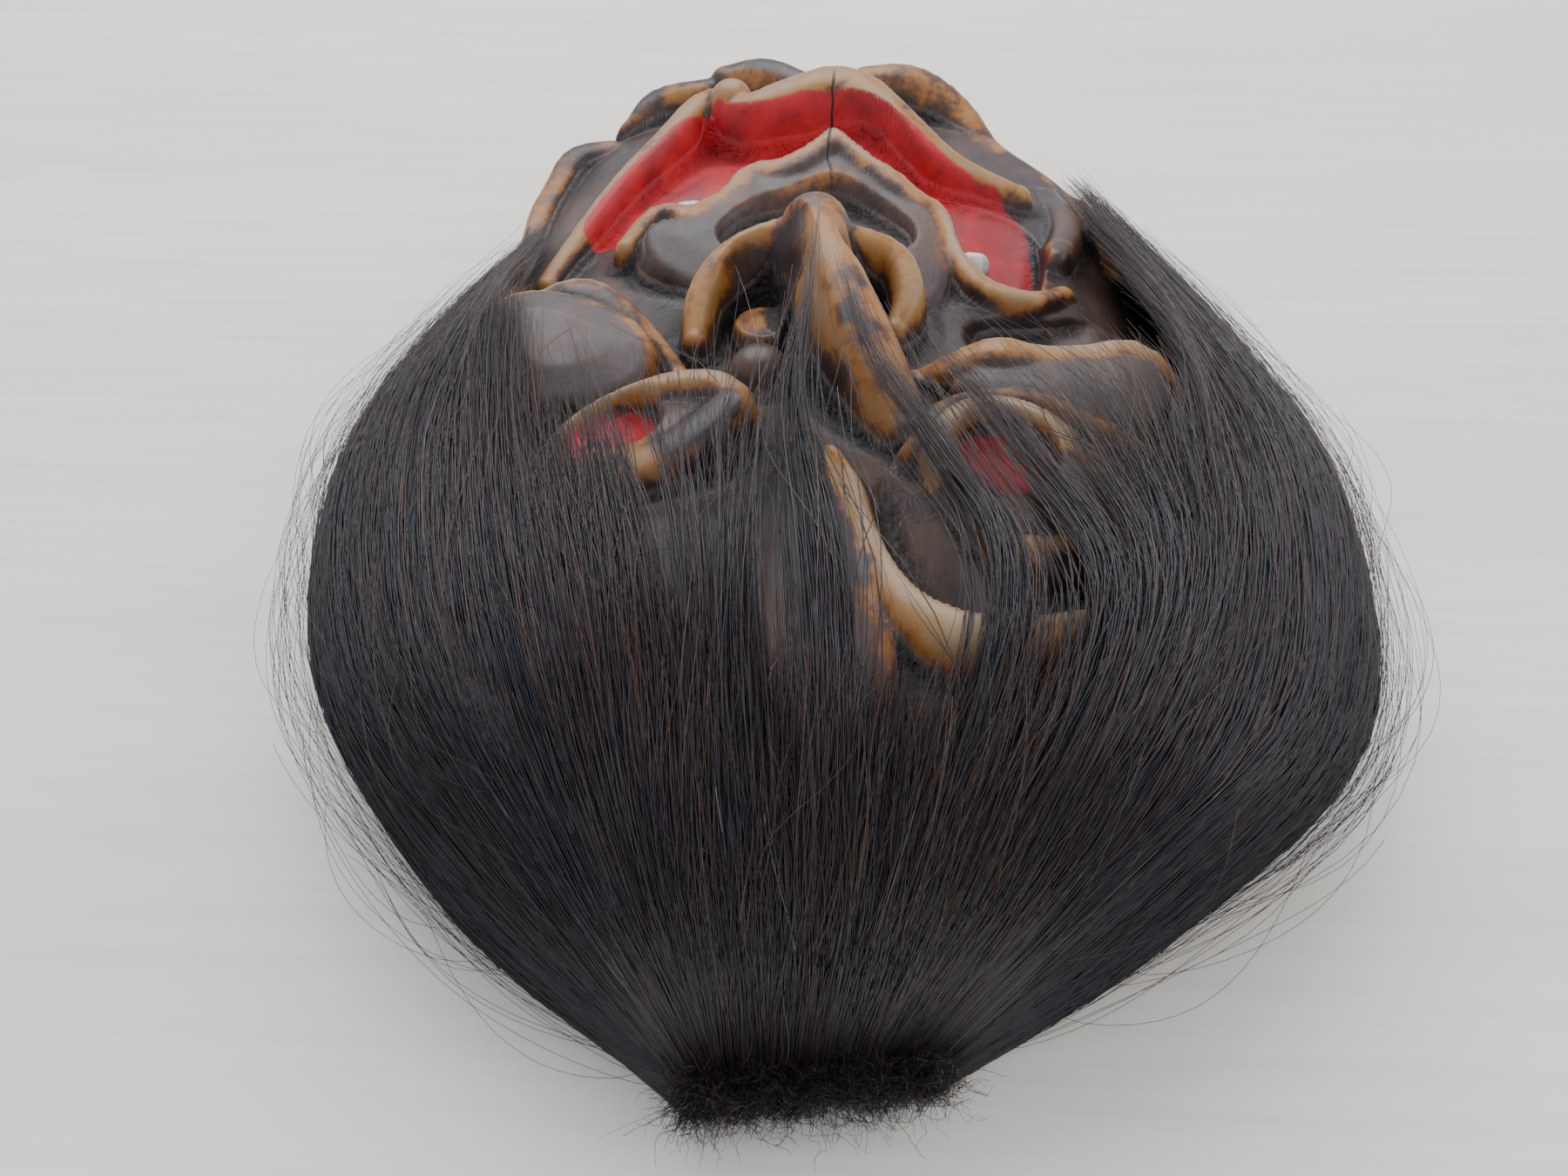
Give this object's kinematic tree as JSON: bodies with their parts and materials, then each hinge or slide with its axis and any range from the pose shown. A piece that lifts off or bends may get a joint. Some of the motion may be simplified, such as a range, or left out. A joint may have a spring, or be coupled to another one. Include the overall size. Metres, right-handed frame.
{
  "type": "carved wooden carnival mask",
  "caption": "Grotesque carved wooden wall mask with red-painted eyes and mouth, teeth, and a long-haired pelt tacked round its forehead and sides.",
  "frame": {"origin": "middle of the plane that the back rim rests on", "axes": "+Z out of the face, +Y from the forehead to the chin, +X to the right seen from the forehead, so to the mask's own right"},
  "size_m": [0.3052, 0.4215, 0.1084],
  "materials": {
    "stained_wood": "satin wax over dark stain, rubbed to amber on the edges, red paint in the eyes and mouth",
    "tooth": "smooth enamel",
    "hide": "felted grey flesh side",
    "hair": "long glossy animal hair",
    "tack_steel": "blued",
    "plate_steel": "zinc plated"
  },
  "bodies": {
    "root": {"mask_body": "stained_wood", "tooth_left": "tooth", "tooth_right": "tooth", "hide_crown": "hide", "hide_left": "hide", "hide_right": "hide", "hide_tacks_crown": "tack_steel", "hide_tacks_left": "tack_steel", "hide_tacks_right": "tack_steel", "hair_crown": "hair", "hair_left": "hair", "hair_right": "hair", "hair_forelock": "hair", "hair_inner_lock": "hair", "hanger_plate": "plate_steel", "hanger_screws": "plate_steel"}
  },
  "joints": []
}
